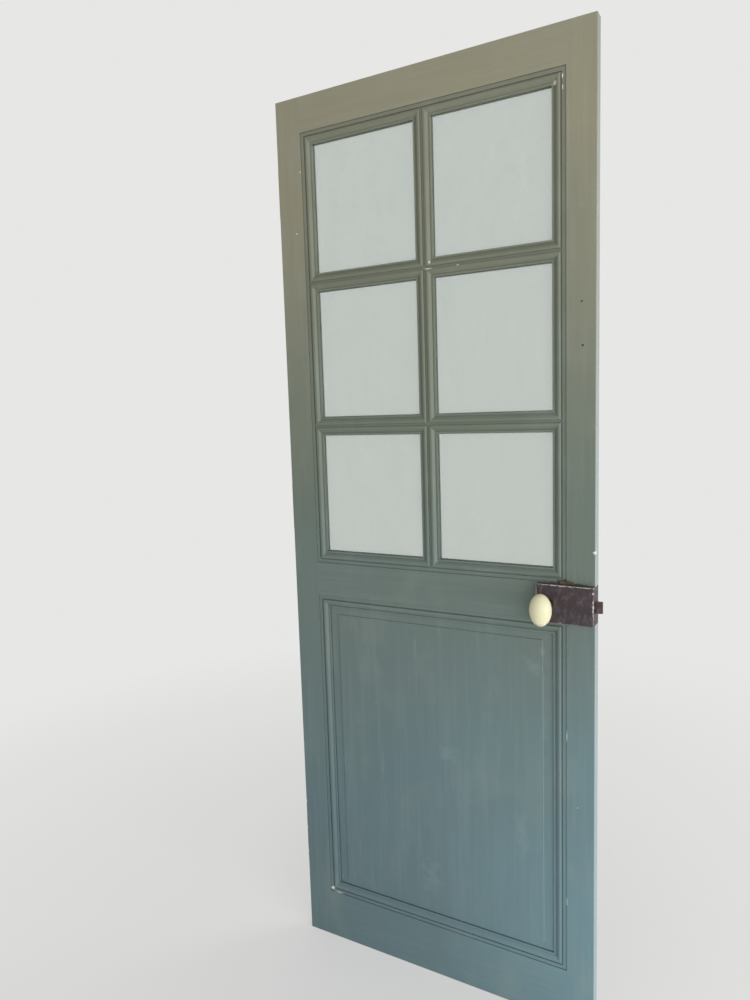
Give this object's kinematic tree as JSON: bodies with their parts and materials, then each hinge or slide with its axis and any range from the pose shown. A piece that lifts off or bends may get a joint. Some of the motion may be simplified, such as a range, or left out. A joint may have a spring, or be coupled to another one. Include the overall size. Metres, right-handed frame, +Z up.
{
  "type": "glazed door",
  "caption": "Tall narrow painted wooden door leaf, its upper part glazed in small panes, with a fielded panel below, a surface latch with an oval knob and butt hinges.",
  "frame": {"origin": "middle of the leaf's bottom edge, halfway through its thickness", "axes": "+X to the lock edge, +Y from the moulded front face to the back face, +Z up"},
  "size_m": [0.7557, 0.1927, 2.06],
  "materials": {
    "painted_wood": "grey-green oil paint, satin, worn",
    "old_glass": "old window glass, slightly wavy",
    "putty": "hardened linseed putty under the same paint",
    "dark_iron": "dark brown rusted iron, dull",
    "rusty_iron": "reddish rusted iron",
    "spring_steel": "dull steel",
    "hinge_iron": "worn iron with traces of paint",
    "ivory_glaze": "glossy ivory glaze",
    "aged_brass": "dull aged brass"
  },
  "bodies": {
    "frame_hinges": {"hinge_lower_frame_leaf": "hinge_iron", "hinge_lower_pin": "hinge_iron", "hinge_middle_frame_leaf": "hinge_iron", "hinge_middle_pin": "hinge_iron", "hinge_upper_frame_leaf": "hinge_iron", "hinge_upper_pin": "hinge_iron"},
    "leaf": {"hinge_stile": "painted_wood", "lock_stile": "painted_wood", "top_rail": "painted_wood", "lock_rail": "painted_wood", "bottom_rail": "painted_wood", "upright_bar": "painted_wood", "cross_bar_lower_left": "painted_wood", "cross_bar_lower_right": "painted_wood", "cross_bar_upper_left": "painted_wood", "cross_bar_upper_right": "painted_wood", "panel": "painted_wood", "joint_pegs": "painted_wood", "glazing_sprigs": "dark_iron", "glass_lower_left": "old_glass", "glass_lower_right": "old_glass", "glass_middle_left": "old_glass", "glass_middle_right": "old_glass", "glass_upper_left": "old_glass", "glass_upper_right": "old_glass", "putty_lower_left": "putty", "putty_lower_right": "putty", "putty_middle_left": "putty", "putty_middle_right": "putty", "putty_upper_left": "putty", "putty_upper_right": "putty", "latch_plate": "dark_iron", "latch_rim": "dark_iron", "latch_back_plate": "dark_iron", "bolt_guide": "dark_iron", "latch_spring": "spring_steel", "case_screws": "dark_iron", "edge_plate_screws": "dark_iron", "back_rose": "dark_iron", "rose_screws": "dark_iron", "hinge_lower_door_leaf": "hinge_iron", "hinge_middle_door_leaf": "hinge_iron", "hinge_upper_door_leaf": "hinge_iron", "hinge_screws": "hinge_iron"},
    "knobs": {"front_knob": "ivory_glaze", "back_knob": "ivory_glaze", "front_neck": "aged_brass", "back_neck": "aged_brass", "spindle": "rusty_iron", "follower": "dark_iron", "neck_pins": "dark_iron"},
    "bolt": {"latch_bolt": "rusty_iron"}
  },
  "joints": [
    {"name": "door_swing", "type": "hinge", "parent": "frame_hinges", "child": "leaf", "pos_m": [-0.36725, 0.02, 1.12], "axis": [0, 0, 1], "range_deg": [0, 170]},
    {"name": "knob_turn", "type": "hinge", "parent": "leaf", "child": "knobs", "pos_m": [0.2745, -0.0135, 0.942], "axis": [0, -1, 0], "range_deg": [0, 53.71]},
    {"name": "latch_slide", "type": "slide", "parent": "leaf", "child": "bolt", "axis": [-1, 0, 0], "range_m": [0, 0.015], "stiffness_N_per_m": 300, "springref_m": -0.02, "deforming": ["latch_spring"]}
  ],
  "couplings": [
    {"joint": "latch_slide", "follows": "knob_turn", "m_per_rad": 0.016}
  ]
}
